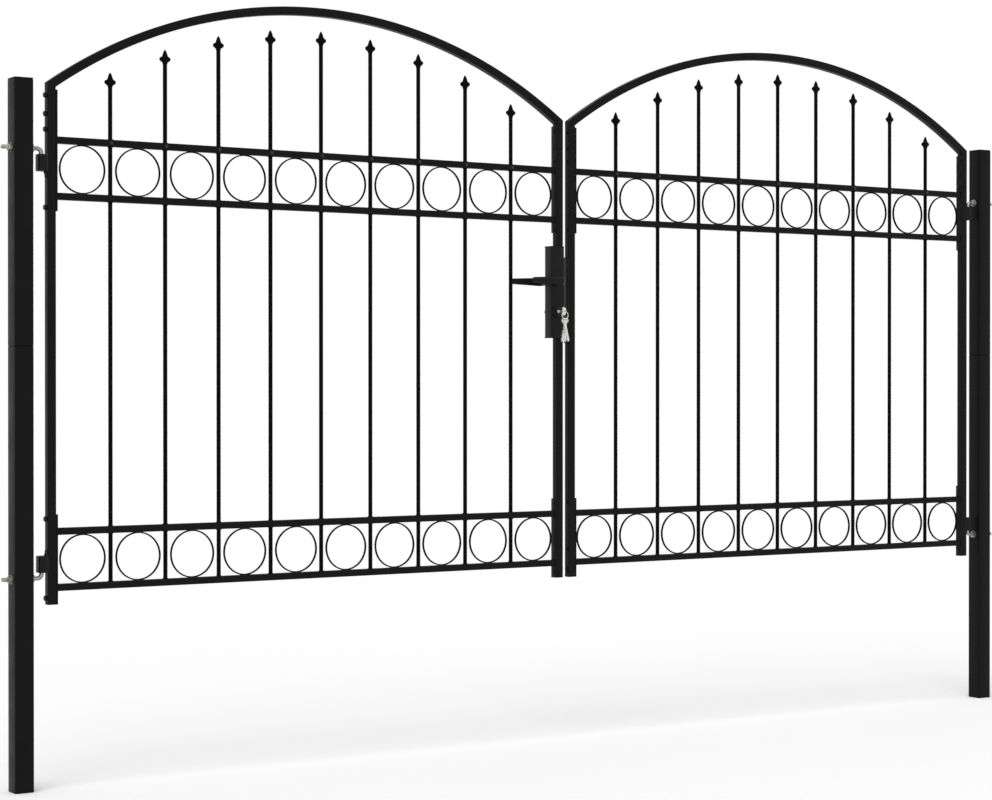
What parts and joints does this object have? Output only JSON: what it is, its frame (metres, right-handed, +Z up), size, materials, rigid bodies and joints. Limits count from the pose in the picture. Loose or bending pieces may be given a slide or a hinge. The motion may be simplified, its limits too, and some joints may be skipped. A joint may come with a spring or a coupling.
{
  "type": "double fence gate",
  "caption": "Double-leaf black metal fence gate with arched tops, spear-headed pickets and ring bands, hung on J-bolt hinges between square posts, with a lever lock and keys.",
  "frame": {"origin": "middle of the left post's foot face, seen from the key side", "axes": "+X to the right post, +Y away from the key side (the way the leaves open), +Z up"},
  "size_m": [3.046, 0.1215, 1.8219],
  "materials": {
    "black_powder_coat": "satin black powder coat",
    "black_fittings": "satin black painted fittings",
    "zinc": "dull zinc plating",
    "nickel": "nickel plating",
    "bright_steel": "brushed steel"
  },
  "bodies": {
    "posts": {"left_hinge_nuts": "zinc", "left_hinge_pins": "zinc", "left_post_cap": "black_powder_coat", "left_post_lower": "black_powder_coat", "left_post_sleeve": "black_powder_coat", "left_post_upper": "black_powder_coat", "right_hinge_nuts": "zinc", "right_hinge_pins": "zinc", "right_post_cap": "black_powder_coat", "right_post_lower": "black_powder_coat", "right_post_sleeve": "black_powder_coat", "right_post_upper": "black_powder_coat"},
    "left_leaf": {"key_ring": "nickel", "latch_bolt": "bright_steel", "left_arch": "black_powder_coat", "left_end_plates": "black_powder_coat", "left_hinge_blocks": "black_powder_coat", "left_hinge_stile": "black_powder_coat", "left_lock_stile": "black_powder_coat", "left_lower_band": "black_powder_coat", "left_pickets": "black_powder_coat", "left_spear_heads": "black_powder_coat", "left_upper_band": "black_powder_coat", "lock_case": "black_powder_coat", "lock_cylinder": "black_fittings", "lock_forend": "bright_steel", "lock_key": "nickel", "lock_roses": "black_fittings", "spare_keys": "nickel"},
    "right_leaf": {"right_arch": "black_powder_coat", "right_end_plates": "black_powder_coat", "right_hinge_blocks": "black_powder_coat", "right_hinge_stile": "black_powder_coat", "right_lower_band": "black_powder_coat", "right_meeting_stile": "black_powder_coat", "right_pickets": "black_powder_coat", "right_spear_heads": "black_powder_coat", "right_strike_plate": "black_powder_coat", "right_upper_band": "black_powder_coat"},
    "lever_handle": {"front_lever": "black_fittings", "back_lever": "black_fittings", "lever_spindle": "black_fittings"}
  },
  "joints": [
    {"name": "left_leaf_swing", "type": "hinge", "parent": "posts", "child": "left_leaf", "pos_m": [0.0485, 0, 0], "axis": [0, 0, 1], "range_deg": [0, 95]},
    {"name": "right_leaf_swing", "type": "hinge", "parent": "posts", "child": "right_leaf", "pos_m": [2.9065, 0, 0], "axis": [0, 0, -1], "range_deg": [0, 95]},
    {"name": "lever_turn", "type": "hinge", "parent": "left_leaf", "child": "lever_handle", "pos_m": [1.4445, 0, 1.18], "axis": [0, -1, 0], "range_deg": [0, 40], "stiffness_Nm_per_rad": 0.8, "springref_deg": -34.38}
  ]
}
